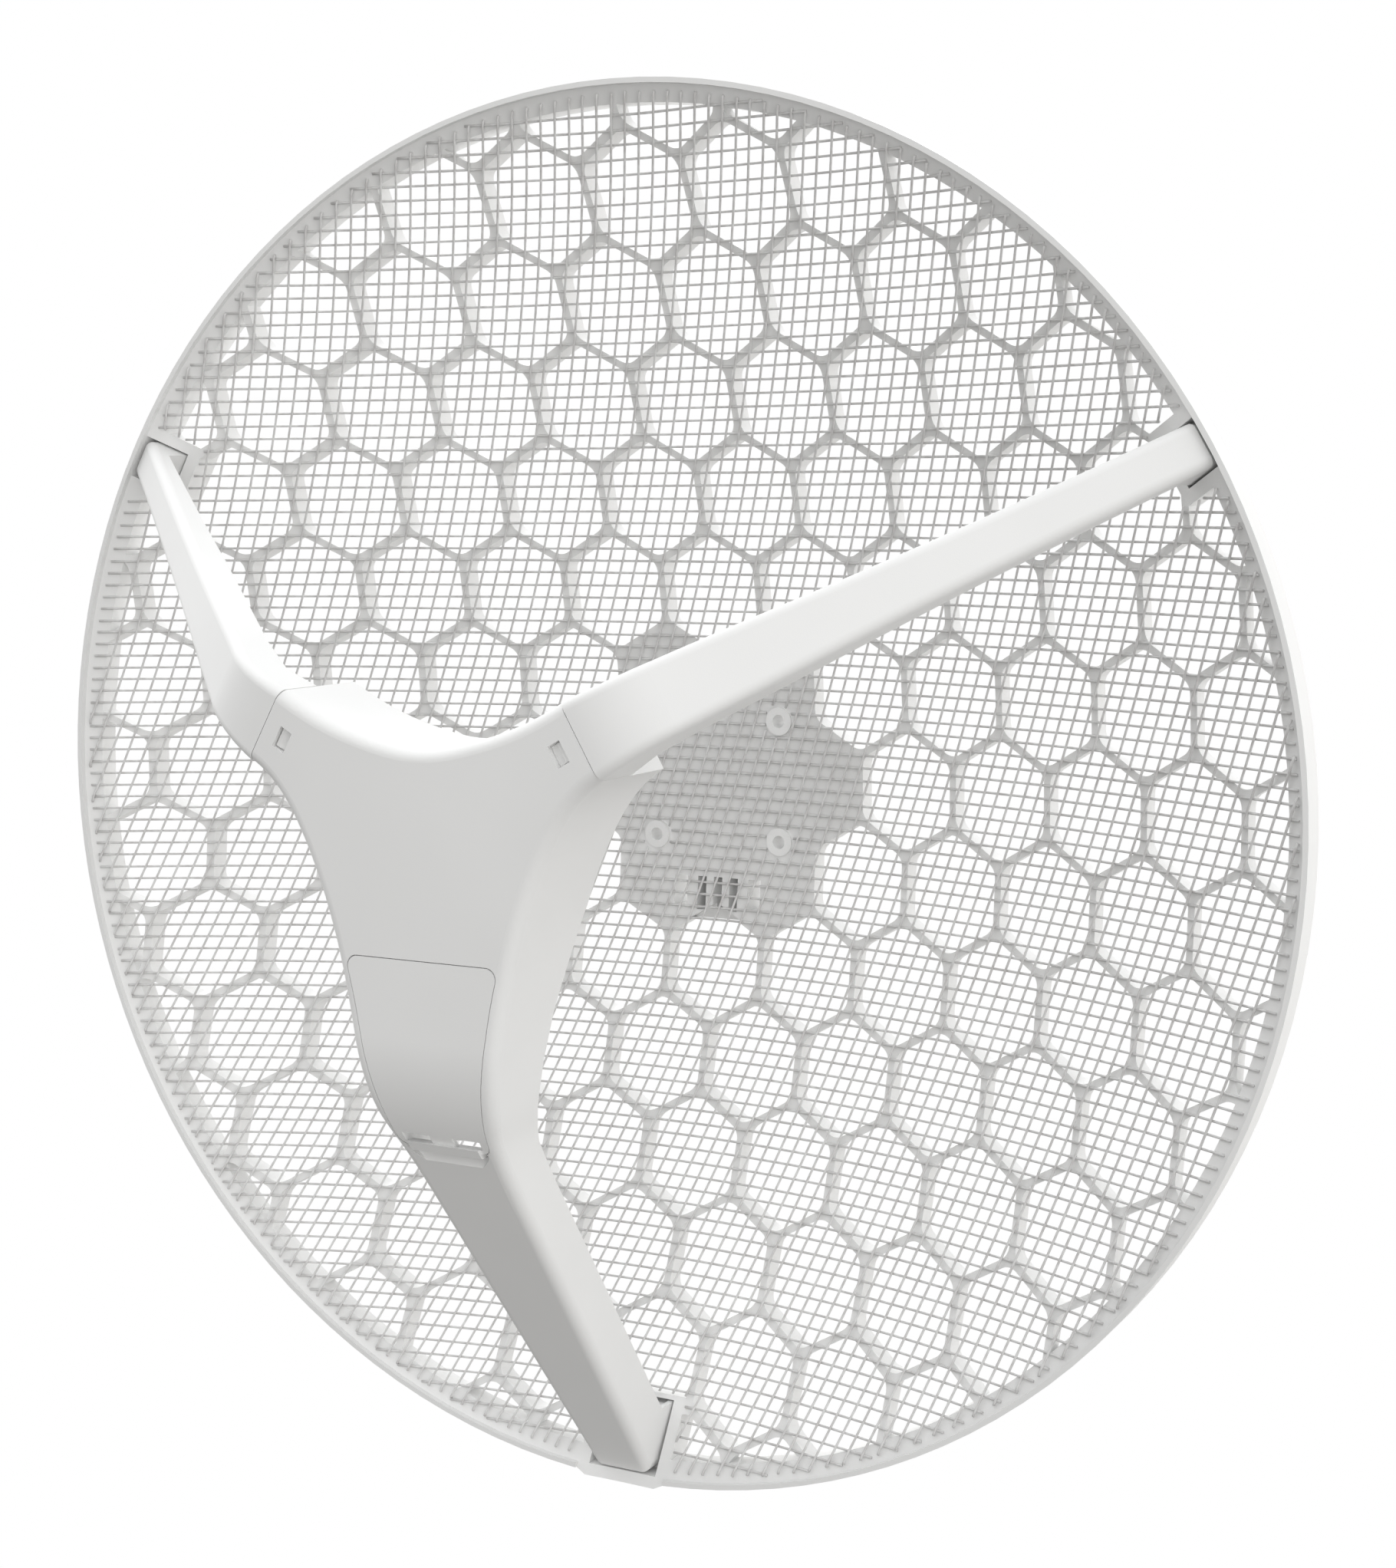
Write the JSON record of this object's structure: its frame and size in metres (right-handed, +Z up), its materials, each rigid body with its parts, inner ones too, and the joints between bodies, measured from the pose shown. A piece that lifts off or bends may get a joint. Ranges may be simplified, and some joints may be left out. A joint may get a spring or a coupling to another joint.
{
  "type": "satellite dish",
  "caption": "Grid parabolic dish antenna: honeycomb frame with wire mesh, three-legged feed head with a port door, and a tilting pole clamp.",
  "frame": {"origin": "vertex of the paraboloid, at the centre of the four hub bolt holes", "axes": "+Z up, the bowl looks along -Y, +X to the right as seen from behind the bowl looking out"},
  "size_m": [0.55, 0.3288, 0.5513],
  "materials": {
    "white_plastic": "fine-grained warm white moulding, UV-stable",
    "coated_wire": "white powder-coated steel wire, spot welded",
    "zinc_steel": "zinc-plated steel, satin",
    "green_laminate": "solder-masked glass laminate",
    "tinned_steel": "tin-plated pressed sheet",
    "feed_metal": "plain rolled sheet and turned posts",
    "black_plastic": "black moulding",
    "gold_contacts": "gold-flashed spring wire",
    "lamp_plastic": "clear epoxy lamp bodies"
  },
  "bodies": {
    "pole_mount": {"pole_saddle": "white_plastic", "clamp_band": "zinc_steel", "clamp_worm_case": "zinc_steel"},
    "clamp_screw": {"clamp_worm": "zinc_steel"},
    "door": {"port_door": "white_plastic"},
    "reset_button": {"reset_plunger": "black_plastic"},
    "reflector": {"honeycomb_grid": "white_plastic", "rim_ring": "white_plastic", "hub_plate": "white_plastic", "foot_socket_right": "white_plastic", "foot_socket_left": "white_plastic", "foot_socket_bottom": "white_plastic", "head_front_shell": "white_plastic", "arm_right": "white_plastic", "arm_left": "white_plastic", "head_rear_cover": "white_plastic", "mesh_level_wires": "coated_wire", "mesh_slanted_wires": "coated_wire", "foot_screw_right": "zinc_steel", "foot_screw_left": "zinc_steel", "foot_screw_bottom": "zinc_steel", "pivot_bolt": "zinc_steel", "pivot_nut": "zinc_steel", "board_screw_upper_right": "zinc_steel", "board_screw_upper_left": "zinc_steel", "board_screw_lower_right": "zinc_steel", "board_screw_lower_left": "zinc_steel", "cover_screw_upper_right": "zinc_steel", "cover_screw_upper_left": "zinc_steel", "cover_screw_lower_right": "zinc_steel", "cover_screw_lower_left": "zinc_steel", "circuit_board": "green_laminate", "shield_can": "tinned_steel", "feed_ground_plate": "feed_metal", "feed_ground_spacers": "feed_metal", "feed_patch": "feed_metal", "feed_patch_posts": "feed_metal", "feed_director": "feed_metal", "feed_director_stem": "feed_metal", "processor_chip": "black_plastic", "radio_chip": "black_plastic", "reset_switch": "black_plastic", "ethernet_jack": "black_plastic", "jack_contacts": "gold_contacts", "status_leds": "lamp_plastic"}
  },
  "joints": [
    {"name": "elevation_tilt", "type": "hinge", "parent": "pole_mount", "child": "reflector", "pos_m": [0, 0.036, 0], "axis": [1, 0, 0], "range_deg": [-20, 20]},
    {"name": "port_door_swing", "type": "hinge", "parent": "reflector", "child": "door", "pos_m": [0, -0.219, -0.0418], "axis": [-1, 0, 0], "range_deg": [0, 75]},
    {"name": "reset_press", "type": "slide", "parent": "reflector", "child": "reset_button", "axis": [0, 1, 0], "range_m": [0, 0.00035], "stiffness_N_per_m": 400},
    {"name": "clamp_screw_turn", "type": "hinge", "parent": "pole_mount", "child": "clamp_screw", "pos_m": [0, 0.1058, 0], "axis": [1, 0, 0], "continuous": true}
  ]
}
